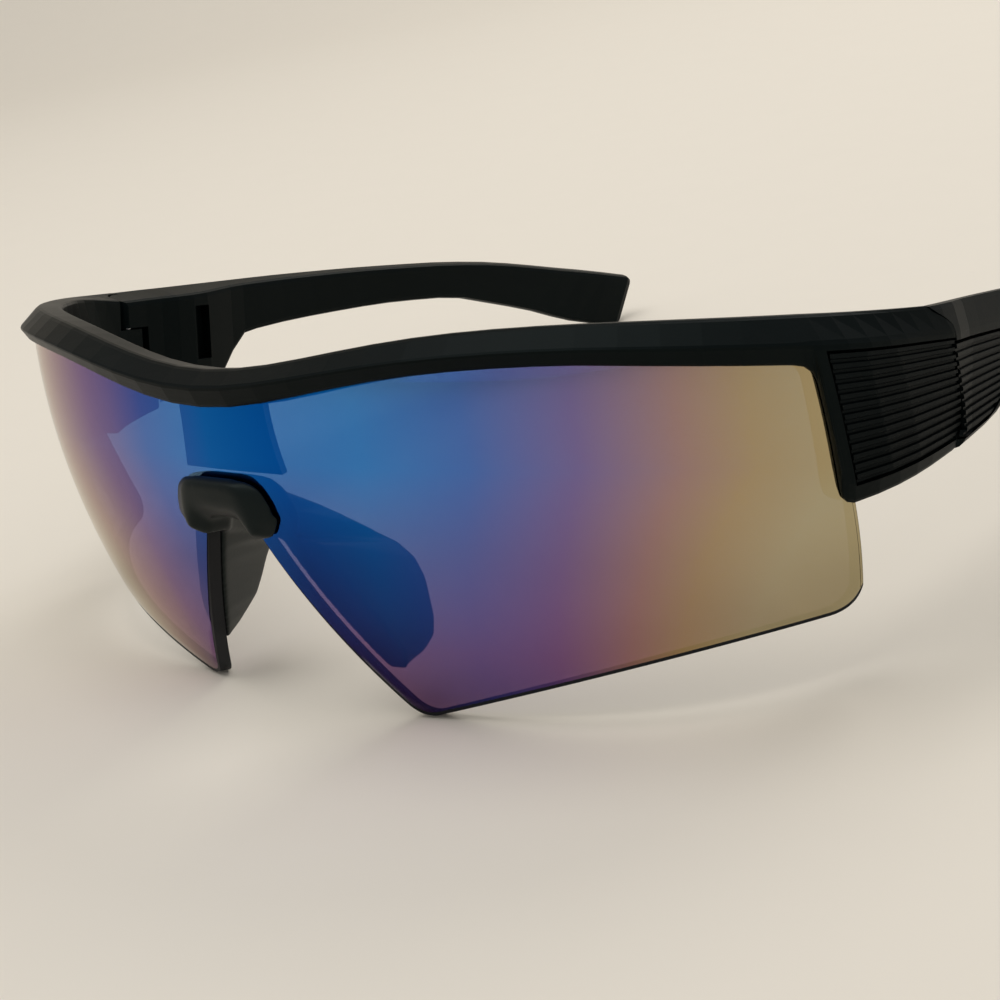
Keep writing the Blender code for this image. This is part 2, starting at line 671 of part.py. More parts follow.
def temple_section(share, shrink=0.0):
    """One section of a temple as named corners, at a share of its length behind the hinge."""
    tip = ease((share - TIP_START_SHARE) / (1 - TIP_START_SHARE))
    high = TEMPLE_DEPTH * along(TEMPLE_TOP_SHARES, share)
    low = TEMPLE_DEPTH * along(TEMPLE_LOW_SHARES, share)
    out = TEMPLE_HALF_SPAN * along(TEMPLE_SPAN_SHARES, share)
    inner = out - TEMPLE_ROOT_THICKNESS * along(TEMPLE_THICKNESS_SHARES, share)
    height = high - low
    crease = high - min(TEMPLE_CREASE_DROP, height * TEMPLE_CREASE_LIMIT_SHARE)
    bevel = low + min(SEAM_BEVEL_HEIGHT, height * TEMPLE_BEVEL_LIMIT_SHARE)
    body = min(height / TEMPLE_DEPTH * 2, 1)

    def at(x, z):
        y = TEMPLE_LENGTH * share - TIP_SLANT * tip * (high - z) / height
        return Vector((x, y, z))

    high -= shrink
    low += shrink
    return {
        "top": at(out - TEMPLE_TOP_INSET - shrink, high),
        "crease": at(out - shrink, min(crease, high - shrink)),
        "bevel": at(out - TEMPLE_LOW_INSET * TEMPLE_BEVEL_INSET_SHARE - shrink, max(bevel, low + shrink)),
        "low": at(out - mix(TIP_LOW_INSET_SHARE, 1, body) * TEMPLE_LOW_INSET - shrink, low),
        "inner_low": at(inner + shrink, low),
        "inner_top": at(inner + shrink, high - TEMPLE_TOP_FALL_SHARE * (out - inner)),
    }


def temple_loft(name, side, group):
    rings = []
    root = [-TEMPLE_LEAD / TEMPLE_LENGTH, ROOT_END_SHARE, 1 - TIP_ROUND / TEMPLE_LENGTH]
    stations = [mix(root[0], root[1], step / ROOT_STEPS) for step in range(ROOT_STEPS + 1)]
    stations += [mix(root[1], root[2], step / REAR_STEPS) for step in range(1, REAR_STEPS + 1)]
    for share, shrink in [(s, 0.0) for s in stations] + [(1 - TIP_ROUND / TEMPLE_LENGTH / 3, TIP_ROUND / 4),
                                                         (1, TIP_ROUND * TIP_END_SHARE)]:
        spots = temple_section(share, shrink)
        ring = rounded(list(spots.values()), (TEMPLE_ROUND, TEMPLE_ROUND, 0, TEMPLE_ROUND, TEMPLE_ROUND,
                                              TEMPLE_ROUND), 2)
        rings.append([Vector((side * point.x, point.y, point.z)) for point in ring])
    return loft(name, rings, group)


def temple_face(share, z, sink):
    """A point on the outer face of a temple root at a height, sunk below the surface."""
    spots = temple_section(share)
    upper, lower = spots["crease"], spots["bevel"]
    down = (upper.z - z) / (upper.z - lower.z)
    return Vector((mix(upper.x, lower.x, down) - sink, upper.y, z))


def temple_grip(name, side, group, ribs, grow=0.0):
    """The ribbed inlay of a temple root as a ribbed plate, or its outline as a plain plate."""
    last = (TEMPLE_GRIP_END + grow) / TEMPLE_LENGTH
    first = -TEMPLE_LEAD / TEMPLE_LENGTH
    foot = SEAM_DEPTH - SEAM_BEVEL_HEIGHT
    rings = []
    for step in range(7):
        share = mix(first, last + (TEMPLE_GRIP_RUNOUT_SHARE if ribs else 0), step / 6)
        spots = temple_section(share)
        high = spots["crease"].z - GRIP_TOP_MARGIN + grow
        low = min(spots["bevel"].z - grow, high - SEAT_GAP)

        depth = high + foot - RIB_RISE_SHARE * (spots["crease"].y - SEAM_LAG)

        def face(down, sink, share=share, high=high, depth=depth):
            return temple_face(share, high - depth * down, sink)

        if ribs:
            ring = ribbed(face, 0, GRIP_OVERRUN_SHARE, GRIP_SINK, GRIP_THICKNESS)
        else:
            out, back = (-CUT_OVERRUN / 4, GRIP_THICKNESS + grow)
            ring = [temple_face(share, mix(high, low, step / 2), out) for step in range(3)]
            ring += [temple_face(share, mix(low, high, step / 2), back) for step in range(3)]
        rings.append([Vector((side * point.x, point.y, point.z)) for point in ring])
    return loft(name, rings, group)


# Nose piece and bridge post


def behind_lens(extra=0.0):
    return -LENS_THICKNESS - GROOVE_GAP - SEAT_GAP / 2 - extra


def nose_spot(x, z, proud):
    return wrap_point(turn_at(x, z, proud), z, proud)


def pad_back(shares):
    return Vector((PAD_BACK_X * shares[0], PAD_BACK_Y + PAD_REACH * shares[1],
                   PAD_BACK_TOP_Z - PAD_DROP * shares[2]))


def nose_share(shares, proud):
    return nose_spot(NOSE_SIZE * shares[0], NOSE_TOP_Z - NOSE_SIZE * shares[1], proud)


def clip_rings():
    """Sections of half the clip that stands on the lens front, round the top of the notch."""
    radii = (BROW_ROUND, CREASE_ROUND, CREASE_ROUND, BROW_ROUND, 0, 0)
    rings = []
    for section in zip(NOSE_INNER_SHARES, NOSE_RIDGE_SHARES, NOSE_FACE_SHARES, NOSE_EDGE_SHARES):
        prouds = (NOSE_INNER_PROUD, NOSE_FRONT_PROUD, NOSE_FRONT_PROUD, NOSE_EDGE_PROUD)
        spots = [nose_share(shares, proud) for shares, proud in zip(section, prouds)]
        root = behind_lens(PAD_THICKNESS / 2)
        spots += [nose_share(section[3], root), nose_share(section[0], root)]
        rings.append(rounded(spots, radii, 2))
    return rings


def saddle_rings():
    """Sections of half the saddle behind the lens, from the arch down to the foot of one pad."""
    radii = (BROW_ROUND, 0, 0, BROW_ROUND, BROW_ROUND, BROW_ROUND)
    rings = []
    last = len(ARCH_BACK_SHARES)
    for i, shares in enumerate(ARCH_BACK_SHARES):
        low = nose_share(NOSE_INNER_SHARES[i], behind_lens())
        high = mix(low, nose_share(NOSE_EDGE_SHARES[i], behind_lens()), mix(1, NOSE_FLAP_SHARE, i / last))
        back = pad_back(shares)
        lift = Vector((i / last, 0, mix(1, PAD_LEAN_SHARE, i / last))).normalized() * PAD_THICKNESS
        spots = [mix(low, high, step / 3) for step in range(4)]
        rings.append(rounded(spots + [back + lift, back], radii, 2))
    count = len(PAD_BACK_SHARES)
    for i, shares in enumerate(PAD_BACK_SHARES):
        z = mix(PAD_HIGH_Z, PAD_LOW_Z, i / (count - 1))
        flange = PAD_FLANGE * PAD_FLANGE_SHARES[i]
        spots = [nose_spot(notch_edge(z) + flange * step / 3, z, behind_lens()) for step in range(4)]
        back = pad_back(shares)
        thick = min(PAD_FLANGE_SHARES[i] * PAD_SWELL_SHARE, 1) * PAD_THICKNESS
        lift = Vector((1, 0, PAD_LEAN_SHARE)).normalized() * thick
        rings.append(rounded(spots + [back + lift, back], radii, 2))
    return rings


def bridge_post(group):
    """The post that drops from the middle of the brow, behind the lens, to carry the nose piece."""
    rings = []
    for step in range(5):
        z = mix(POST_TOP_Z, POST_FOOT_Z, step / 4)
        half = POST_HALF_WIDTH + POST_FLARE * (step / 4) ** 2
        front = [nose_spot(half * side / 3, z, behind_lens()) for side in (-3, -1, 1, 3)]
        rear = [nose_spot((half - POST_TAPER) * side / 3, z, behind_lens(POST_DEPTH))
                for side in (3, 1, -1, -3)]
        rings.append(front + rear)
    return loft("bridge_post_form", rings, group)


# Screws and inserts


def turned(name, profile, group, ring=False):
    """A turned piece: its profile, as (radius, z) from top to bottom, spun by a Screw modifier."""
    mesh = bpy.data.meshes.new(name)
    edges = [(i, i + 1) for i in range(len(profile) - 1)]
    if ring:
        edges.append((len(profile) - 1, 0))
    mesh.from_pydata([(radius, 0, z) for radius, z in profile], edges, [])
    made = bpy.data.objects.new(name, mesh)
    group.objects.link(made)
    spin = made.modifiers.new("Screw", "SCREW")
    spin.steps = TURNED_SIDES
    spin.render_steps = TURNED_SIDES
    spin.use_merge_vertices = True
    spin.merge_threshold = SEAT_GAP / 30
    spin.use_smooth_shade = True
    return made


def hang(made, parent, spot=(0, 0, 0)):
    made.parent = parent
    made.location = spot
    return made


def settle(stand, parts):
    """Tip the stand about X until the front and the temple tips both touch the table, and centre it."""
    depsgraph = bpy.context.evaluated_depsgraph_get()
    points = []
    for part in parts:
        shape = part.evaluated_get(depsgraph)
        points += [shape.matrix_world @ vertex.co for vertex in shape.data.vertices]
    middle = TEMPLE_LENGTH / 2 + WRAP_FRONT_Y / 2
    front = [(p.y, p.z) for p in points if p.y < middle]
    back = [(p.y, p.z) for p in points if p.y >= middle]

    def height(group, tip):
        return min(y * math.sin(tip) + z * math.cos(tip) for y, z in group)

    low, high = -math.radians(40), 0.0
    for _ in range(50):
        tip = (low + high) / 2
        if height(back, tip) > height(front, tip):
            high = tip
        else:
            low = tip
    turn = Matrix.Rotation(tip, 4, "X")
    placed = [turn @ p for p in points]
    middle_y = (min(p.y for p in placed) + max(p.y for p in placed)) / 2
    stand.rotation_euler = (tip, 0, 0)
    stand.location = (0, -middle_y, -min(p.z for p in placed))


def build():
    for old in list(bpy.data.objects):
        bpy.data.objects.remove(old)
    glasses = collection("wraparound_sunglasses")
    cutters = collection("cutters")

    frame_black = plastic("frame_black", (0.012, 0.015, 0.015), 0.55)
    grip_black = plastic("grip_black", (0.010, 0.012, 0.012), 0.75)
    rubber_black = plastic("rubber_black", (0.014, 0.017, 0.017), 0.65)
    mirror_blue = plastic("mirror_blue", (0.05, 0.16, 0.45), 0.08, 0.7)
    steel = plastic("screw_steel", (0.55, 0.55, 0.56), 0.3, 1.0)
    brass = plastic("insert_brass", (0.75, 0.58, 0.28), 0.35, 1.0)

    stand = bpy.data.objects.new("rest_on_table", None)
    glasses.objects.link(stand)
    parts = []

    def part(made, material, parent=stand, spot=(0, 0, 0)):
        made.data.materials.append(material)
        parts.append(hang(made, parent, spot))
        return made

    groove = lens_solid("lens_groove", cutters, GROOVE_GAP)
    post = bridge_post(cutters)
    frame = part(mirror(loft("front_frame", frame_rings(), glasses, True)), frame_black)
    cut(frame, post, "UNION")
    frame_tools = [groove]

    part(lens_solid("shield_lens", glasses), mirror_blue)
    saddle = mirror(loft("nose_saddle_form", saddle_rings(), cutters, True))
    nose = part(mirror(loft("nose_piece", clip_rings(), glasses, True)), rubber_black)
    cut(nose, saddle, "UNION")
    cut(nose, groove)

    bore_radius = PIN_RADIUS + PIN_GAP
    head_z = HINGE_FOOT_Z - SEAM_FLOOR
    nest_radius = INSERT_RADIUS + PIN_GAP
    nest_top = BARREL_LOW_Z + INSERT_HEIGHT + SEAT_GAP
    nest_low = BARREL_LOW_Z - SEAT_GAP
    bore_top = BARREL_TOP_Z + SEAT_GAP
    head_room = SCREW_HEAD_RADIUS + PIN_GAP
    front_bore = [(0, bore_top), (bore_radius, bore_top), (bore_radius, nest_top),
                  (nest_radius, nest_top), (nest_radius, nest_low), (bore_radius, nest_low),
                  (bore_radius, head_z + SEAT_GAP), (head_room, head_z + SEAT_GAP),
                  (head_room, -END_DEPTH), (0, -END_DEPTH)]
    for word, side in (("left", 1), ("right", -1)):
        hinge = (side * HINGE_X, HINGE_Y, 0)
        behind = [seam_block(f"behind_seam_{word}_{level}", side, cutters, level)
                  for level in (True, False)]
        ahead = [seam_block(f"ahead_seam_{word}_{level}", side, cutters, level, SEAT_GAP, False)
                 for level in (True, False)]

        # Front side of the hinge: the seam is cut away round the middle barrel
        barrel_plan = [(HINGE_X - BARREL_RADIUS, HINGE_Y - BARREL_RADIUS * 2)]
        barrel_plan += quarter((HINGE_X, HINGE_Y), BARREL_RADIUS, 180, 0, 12)
        barrel_plan += [(HINGE_X + BARREL_RADIUS, HINGE_Y - BARREL_RADIUS * 2)]
        barrel = prism(f"front_barrel_{word}", [(side * x, y) for x, y in barrel_plan],
                       BARREL_LOW_Z, BARREL_TOP_Z, cutters)
        pocket = end_grip(f"end_pocket_{word}", side, cutters, SEAT_GAP)
        bore = turned(f"front_bore_{word}", front_bore, cutters)
        cut(behind[0], barrel)
        frame_tools += behind + [pocket, hang(bore, None, hinge)]

        grip = part(end_grip(f"{word}_end_grip", side, glasses), grip_black)
        for block in behind:
            cut(grip, block)

        # Temple side: everything ahead of the seam goes, and the middle barrel gets its pocket
        pivot = bpy.data.objects.new(f"{word}_temple_pivot", None)
        glasses.objects.link(pivot)
        hang(pivot, stand, hinge)
        back = tuple(-value for value in hinge)
        arm = part(temple_loft(f"{word}_temple", side, glasses), frame_black, pivot)
        arm.data.transform(Matrix.Translation(back))
        reach = BARREL_RADIUS + SEAT_GAP
        room_plan = [(HINGE_X - BARREL_RADIUS * 4, HINGE_Y + reach)]
        room_plan += quarter((HINGE_X, HINGE_Y), reach, 90, 0)
        room_plan += [(HINGE_X + reach, HINGE_Y - BARREL_RADIUS * 4),
                      (HINGE_X - BARREL_RADIUS * 4, HINGE_Y - BARREL_RADIUS * 4)]
        room = prism(f"barrel_room_{word}", [(side * x, y) for x, y in room_plan],
                     BARREL_LOW_Z - SEAT_GAP, BARREL_TOP_Z + SEAT_GAP, cutters)
        slot_in = HINGE_X - BARREL_RADIUS - CUT_OVERRUN
        slot_out = HINGE_X - BARREL_RADIUS + TEMPLE_SLOT_DEPTH
        slot_back = TEMPLE_SLOT_FRONT + TEMPLE_SLOT_WIDTH
        slot_plan = [(slot_in, TEMPLE_SLOT_FRONT), (slot_out, TEMPLE_SLOT_FRONT), (slot_out, slot_back),
                     (slot_in, slot_back)]
        slot = prism(f"temple_slot_{word}", [(side * x, y) for x, y in slot_plan],
                     -TEMPLE_SLOT_LOW, -TEMPLE_SLOT_TOP, cutters)
        temple_bore = upright(f"temple_bore_{word}", side * HINGE_X, HINGE_Y, bore_radius,
                              -END_DEPTH - CUT_OVERRUN, -INSERT_COVER - SEAT_GAP, cutters)
        temple_pocket = temple_grip(f"temple_pocket_{word}", side, cutters, False, SEAT_GAP)
        cut_all(arm, ahead + [temple_pocket, room, slot, temple_bore], cutters)

        outline = temple_grip(f"temple_grip_outline_{word}", side, cutters, False)
        strip = part(temple_grip(f"{word}_temple_grip", side, glasses, True), grip_black, pivot)
        strip.data.transform(Matrix.Translation(back))
        cut(strip, outline, "INTERSECT")
        for block in ahead:
            cut(strip, block)

        # The screw goes up from below and bites in a brass insert in the middle barrel
        low = head_z - SCREW_HEAD_HEIGHT
        end = -INSERT_COVER - SEAT_GAP * 2
        screw = [(0, end), (PIN_RADIUS, end), (PIN_RADIUS, head_z), (SCREW_HEAD_RADIUS, head_z),
                 (SCREW_HEAD_RADIUS, low), (0, low)]
        part(turned(f"{word}_hinge_screw", screw, glasses), steel, stand, hinge)
        top, foot = BARREL_LOW_Z + INSERT_HEIGHT, BARREL_LOW_Z
        ring = [(bore_radius, top), (INSERT_RADIUS, top), (INSERT_RADIUS, foot), (bore_radius, foot)]
        part(turned(f"{word}_hinge_insert", ring, glasses, True), brass, stand, hinge)

    cut_all(frame, frame_tools, cutters)
    for cutter in cutters.objects:
        cutter.hide_render = True
        cutter.display_type = "WIRE"
        cutter.parent = stand
    bpy.context.view_layer.update()
    settle(stand, parts)
    bpy.context.view_layer.update()


build()
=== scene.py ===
"""The looks of the wraparound sunglasses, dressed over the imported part."""

import json
import math

import bmesh
import bpy
from mathutils import Matrix, Vector


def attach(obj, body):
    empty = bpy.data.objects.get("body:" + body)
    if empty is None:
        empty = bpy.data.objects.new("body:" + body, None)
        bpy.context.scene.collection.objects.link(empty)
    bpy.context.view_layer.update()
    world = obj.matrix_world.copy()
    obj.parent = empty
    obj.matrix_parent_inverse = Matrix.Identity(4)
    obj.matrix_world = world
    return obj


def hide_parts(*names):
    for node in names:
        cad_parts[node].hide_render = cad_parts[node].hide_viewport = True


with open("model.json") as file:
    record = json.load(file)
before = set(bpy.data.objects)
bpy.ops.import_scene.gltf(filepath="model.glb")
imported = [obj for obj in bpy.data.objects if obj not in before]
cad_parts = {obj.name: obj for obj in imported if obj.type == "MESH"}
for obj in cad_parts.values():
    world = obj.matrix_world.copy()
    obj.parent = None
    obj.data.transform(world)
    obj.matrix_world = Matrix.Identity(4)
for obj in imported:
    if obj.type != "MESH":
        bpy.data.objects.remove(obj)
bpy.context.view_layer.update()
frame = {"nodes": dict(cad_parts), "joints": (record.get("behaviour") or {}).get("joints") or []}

# The glasses stand tipped forward on the lens corners and the temple tips. Their own frame, with X
# towards the wearer's left, Y back and Z up as worn, is taken from the hinge that they turn on.
HINGE_BEHIND_ORIGIN = 0.0004

left_hinge = [joint for joint in frame["joints"] if joint["name"] == "left_temple_fold"][0]
leftward = Vector((1, 0, 0))
upright = Vector(left_hinge["axis"]).normalized()
worn = Matrix((leftward, upright.cross(leftward), upright)).transposed().to_4x4()
hinge_offset = worn.to_3x3() @ Vector((0, HINGE_BEHIND_ORIGIN, 0))
worn.translation = Vector((0, *left_hinge["pos_m"][1:])) - hinge_offset


# Frame and temples: one-piece mouldings in black nylon with a soft-touch lacquer, which is matte,
# faintly green under warm light, and finely pebbled where the mould was etched.
SOFT_BLACK = (0.0012, 0.0024, 0.0026)
SOFT_BLACK_DUSTY = (0.0028, 0.0048, 0.0050)
SHINE_TINT = (0.80, 1.0, 1.0)
LACQUER_ROUGHNESS = 0.38
LACQUER_SHINE = 0.065
LACQUER_PEBBLE = 0.00003
PATCH_SCALE = 60
PATCH_DETAIL = 4
PATCH_FROM = 0.35
PATCH_CONTRAST = 1.6
PATCH_ROUGHNESS = 0.10
GRAIN_SCALE = 2600
GRAIN_DETAIL = 2
GRAIN_ROUGHNESS = 0.06
GRAIN_STRENGTH = 0.25
NOISE_MIDDLE = 0.5


class Wire:
    """A socket's value, which sums, products and quotients turn into Math nodes."""

    def __init__(self, finish, socket):
        self.finish = finish
        self.socket = socket

    def reckon(self, operation, first, second):
        node = self.finish.put("Math", {"operation": operation}, {0: first, 1: second})
        return self.finish.wire(node)

    def __add__(self, other):
        return self.reckon("ADD", self, other)

    def __radd__(self, other):
        return self.reckon("ADD", other, self)

    def __sub__(self, other):
        return self.reckon("SUBTRACT", self, other)

    def __rsub__(self, other):
        return self.reckon("SUBTRACT", other, self)

    def __mul__(self, other):
        return self.reckon("MULTIPLY", self, other)

    def __rmul__(self, other):
        return self.reckon("MULTIPLY", other, self)

    def __truediv__(self, other):
        return self.reckon("DIVIDE", self, other)

    def __rtruediv__(self, other):
        return self.reckon("DIVIDE", other, self)


class Finish:
    """A node material in the making."""

    def __init__(self, name):
        self.material = bpy.data.materials.new(name)
        self.material.use_nodes = True
        self.tree = self.material.node_tree
        self.tree.nodes.clear()

    def put(self, kind, settings=None, sockets=None):
        """Adds a node, makes its settings, then gives its sockets their values or links."""
        node = self.tree.nodes.new(f"ShaderNode{kind}")
        for name, value in (settings or {}).items():
            if name == "stops":
                ramp = node.color_ramp
                for place, _ in value[2:]:
                    ramp.elements.new(place)
                for element, (place, colour) in zip(ramp.elements, value):
                    element.position = place
                    element.color = (*colour, 1)
            else:
                setattr(node, name, value)
        for name, value in (sockets or {}).items():
            socket = next(item for place, item in enumerate(node.inputs)
                          if name in (place, item.identifier, item.name))
            if isinstance(value, Wire):
                self.tree.links.new(value.socket, socket)
            else:
                socket.default_value = value
        return node

    def wire(self, node, output=0):
        return Wire(self, node.outputs[output])

    def place(self):
        return self.wire(self.put("TexCoord"), "Object")

    def noise(self, scale, detail):
        sockets = {"Vector": self.place(), "Scale": scale, "Detail": detail}
        return self.wire(self.put("TexNoise", {}, sockets), "Fac")

    def blend(self, share, low, high):
        """A colour between two colours."""
        low, high = (tone if isinstance(tone, Wire) else (*tone, 1) for tone in (low, high))
        node = self.put("Mix", {"data_type": "RGBA"},
                        {"Factor_Float": share, "A_Color": low, "B_Color": high})
        return Wire(self, [socket for socket in node.outputs if socket.type == "RGBA"][0])

    def bump(self, height, strength, distance):
        sockets = {"Strength": strength, "Distance": distance, "Height": height}
        return self.wire(self.put("Bump", {}, sockets))

    def end(self, shader):
        self.put("OutputMaterial", {}, {"Surface": self.wire(shader)})
        return self.material


def soft_lacquer(name, colour, dusty, roughness, shine, pebble):
    """Matte black: dust and handling lighten it in patches, and the mould's etch pebbles it."""
    finish = Finish(name)
    patches = finish.noise(PATCH_SCALE, PATCH_DETAIL)
    grain = finish.noise(GRAIN_SCALE, GRAIN_DETAIL)
    worn_rough = roughness + PATCH_ROUGHNESS * (patches - NOISE_MIDDLE)
    return finish.end(finish.put("BsdfPrincipled", {}, {
        "Base Color": finish.blend((patches - PATCH_FROM) * PATCH_CONTRAST, colour, dusty),
        "Roughness": worn_rough + GRAIN_ROUGHNESS * (grain - NOISE_MIDDLE),
        "Specular IOR Level": shine,
        "Specular Tint": (*SHINE_TINT, 1),
        "Normal": finish.bump(grain, GRAIN_STRENGTH, pebble)}))


def dress(node, material):
    """Gives every slot of a CAD solid one finish."""
    solid = frame["nodes"][node]
    if not solid.material_slots:
        solid.data.materials.append(material)
    for slot in solid.material_slots:
        slot.material = material


lacquer = soft_lacquer("soft_touch_black", SOFT_BLACK, SOFT_BLACK_DUSTY,
                       LACQUER_ROUGHNESS, LACQUER_SHINE, LACQUER_PEBBLE)
for node in ("front_frame", "left_temple", "right_temple"):
    dress(node, lacquer)


# Grips: inlays in black elastomer, duller and deeper than the lacquer round them, moulded with fine
# level ribs and pressed into pockets in the end pieces and temple roots.
GRIP_BLACK = (0.0014, 0.0022, 0.0026)
GRIP_WORN = (0.0032, 0.0046, 0.0052)
GRIP_ROUGHNESS = 0.42
GRIP_SHINE = 0.070
GRIP_PEBBLE = 0.00004

grip_rubber = soft_lacquer("ribbed_grip_black", GRIP_BLACK, GRIP_WORN,
                           GRIP_ROUGHNESS, GRIP_SHINE, GRIP_PEBBLE)
for node in ("left_end_grip", "right_end_grip", "left_temple_grip", "right_temple_grip"):
    dress(node, grip_rubber)


# Nose piece: one moulding in black silicone, clipped over the top of the notch and finely blasted.
# It is the CAD solid in a fine even mesh, with its edges softened as silicone comes from the mould.
SILICONE_BLACK = (0.0030, 0.0046, 0.0046)
SILICONE_DUSTY = (0.0060, 0.0082, 0.0080)
SILICONE_ROUGHNESS = 0.40
SILICONE_SHINE = 0.15
SILICONE_PEBBLE = 0.00003
NOSE_GRID = 0.00024
NOSE_SOFTENING = 22
NOSE_SOFTENING_SHARE = 0.5

nose = bpy.data.objects.new("nose_silicone", frame["nodes"]["nose_piece"].data.copy())
nose.matrix_world = frame["nodes"]["nose_piece"].matrix_world
bpy.context.scene.collection.objects.link(nose)
remesh = nose.modifiers.new("moulded", "REMESH")
remesh.mode = "VOXEL"
remesh.voxel_size = NOSE_GRID
remesh.use_smooth_shade = True
soften = nose.modifiers.new("softened", "SMOOTH")
soften.factor = NOSE_SOFTENING_SHARE
soften.iterations = NOSE_SOFTENING
moulded = bpy.data.meshes.new_from_object(
    nose.evaluated_get(bpy.context.evaluated_depsgraph_get()))
nose.modifiers.clear()
nose.data = moulded
nose.data.materials.clear()
nose.data.materials.append(soft_lacquer("nose_silicone_black", SILICONE_BLACK, SILICONE_DUSTY,
                                        SILICONE_ROUGHNESS, SILICONE_SHINE, SILICONE_PEBBLE))
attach(nose, "front")
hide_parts("nose_piece")


# Hinge screws and inserts: turned steel screws that go up from below through the end piece's floor
# and the temple's knuckles, and bite in turned brass rings pressed into the middle barrels.
STEEL = (0.56, 0.56, 0.57)
STEEL_DARK = (0.34, 0.34, 0.35)
STEEL_ROUGHNESS = 0.24
BRASS = (0.76, 0.58, 0.27)
BRASS_DARK = (0.48, 0.34, 0.14)
BRASS_ROUGHNESS = 0.28
RING_SCALE = 900.0
RING_WAVER = 1.5
RING_ROUGHNESS = 0.12
RING_STRENGTH = 0.2
RING_DEPTH = 0.00002


def turned_metal(name, bright, dark, roughness):
    """Metal with fine level bands, as a lathe leaves them."""
    finish = Finish(name)
    bands = finish.put("TexWave", {"wave_type": "BANDS", "bands_direction": "Z"},
                       {"Vector": finish.place(), "Scale": RING_SCALE, "Distortion": RING_WAVER})
    rings = finish.wire(bands, "Fac")
    return finish.end(finish.put("BsdfPrincipled", {}, {
        "Base Color": finish.blend(rings, dark, bright),
        "Metallic": 1.0,
        "Roughness": roughness + RING_ROUGHNESS * rings,
        "Normal": finish.bump(rings, RING_STRENGTH, RING_DEPTH)}))


steel = turned_metal("turned_screw_steel", STEEL, STEEL_DARK, STEEL_ROUGHNESS)
brass = turned_metal("turned_insert_brass", BRASS, BRASS_DARK, BRASS_ROUGHNESS)
for side in ("left", "right"):
    dress(f"{side}_hinge_screw", steel)
    dress(f"{side}_hinge_insert", brass)


# Shield lens: one sheet of smoke polycarbonate, cut from a toric blank. Its outer face has a vacuum
# mirror coating that runs from blue over the nose to bronze at the sides, and its cut edge is bare.
WRAP_HALF_WIDTH = 0.0721
WRAP_DEPTH = 0.0503
WRAP_FRONT_SHARE = 0.833
WRAP_LEVEL_Z = -0.0096
CROWN_RADIUS = 0.0833
CROWN_APEX_Z = 0.00165
LENS_THICKNESS = 0.0020
LENS_TUCK = 0.0016
LENS_LOW_Z = -0.0480
LENS_MIDDLE_Z = -0.016
SIDE_TURN_TOP = 1.112
SIDE_TURN_BOTTOM = 1.302
OUTER_LOW_Z = -0.0337
OUTER_CORNER_RADIUS = 0.0032
OUTER_CORNER_RUN_SHARE = 0.6
OUTER_CORNER_RISE_SHARE = 0.9
NOSE_CORNER_RADIUS = 0.0020
NOSE_CORNER_RUN_SHARE = 1.3
NOTCH_TOP_Z = -0.0214
NOTCH_TOP_RADIUS = 0.0050
NOTCH_TOP_DEGREES = 62
NOTCH_EDGE_X = 0.0050
NOTCH_EDGE_Z = -0.0260
NOTCH_SPLAY_SHARE = 0.50
NOTCH_BOW_RADIUS = 0.111
BROW_LOW_Z = -0.0043
BROW_LOW_DIP = 0.0056
BROW_LOW_SPREAD = 0.0240
BROW_LOW_FALL_SHARE = 0.05
BROW_FALL_START = 0.045
BEVEL_WIDTH = 0.00042
BEVEL_DEPTH = 0.00012
SHARP_DEGREES = 50
LENS_ROWS = 40
NOTCH_TOP_STEPS = 15
NOTCH_EDGE_STEPS = 24
NOSE_CORNER_STEPS = 12
LENS_FOOT_STEPS = 33
OUTER_CORNER_STEPS = 15
TURN_TRIES = 30
TURN_LEAST_COSINE = 0.3
PROUD_PROBE = 0.001

COATING = ((0.0, (0.0, 0.12, 0.58)), (0.20, (0.0, 0.155, 0.61)), (0.42, (0.045, 0.10, 0.48)),
           (0.62, (0.20, 0.10, 0.31)), (0.78, (0.39, 0.21, 0.165)), (0.88, (0.44, 0.31, 0.14)),
           (1.0, (0.45, 0.385, 0.23)))
COAT_CENTRE_X = 0.011
COAT_REACH = 0.056
COAT_FAR_X = -0.020
COAT_FAR_SHARE = 0.45
COAT_DROP = 0.040
COAT_DROP_FROM_Z = -0.016
COAT_FAN_SHARE = 0.5
# The lower middle of the mirror is drawn darker, towards a deep purple: painted shade, for the
# shaded floor that the lower lens reflects.
COAT_LOW_SHADE = (0.020, 0.0, 0.060)
COAT_LOW_SHADE_SHARE = 1.6
COAT_DRIFT = 0.02
COAT_DRIFT_SCALE = 35
COAT_DRIFT_DETAIL = 2
COAT_ROUGHNESS = 0.035
COAT_HAZE_ROUGHNESS = 0.02
COAT_HAZE_SCALE = 140
COAT_HAZE_DETAIL = 3
COAT_COVER = 0.66
COAT_COVER_GAIN = 0.27
THROUGH_HIGH = (0.30, 0.66, 1.0)
THROUGH_LOW = (1.0, 0.50, 0.75)
THROUGH_LOW_SHARE = 1.8

SMOKE = (0.020, 0.022, 0.026)
SMOKE_COVER = 0.30
SMOKE_ROUGHNESS = 0.04
SMOKE_SHINE = 0.6
EDGE_SMOKE = (0.005, 0.006, 0.008)
EDGE_COVER = 0.98
EDGE_ROUGHNESS = 0.38
EDGE_SHINE = 0.12
SMOKE_THROUGH = (0.92, 0.95, 1.0)
SMOKE_HAZE_SCALE = 220
SMOKE_HAZE_DETAIL = 3
SMOKE_HAZE_GAIN = 1.3
SMOKE_HAZE_ROUGHNESS = 0.02
SMOKE_HAZE_COVER = 0.02


def mix(low, high, share):
    return low + (high - low) * share


def ease(start, middle, end, share):
    """A place on the curve that leaves start towards middle and arrives at end."""
    return start * (1 - share) ** 2 + middle * 2 * share * (1 - share) + end * share * share


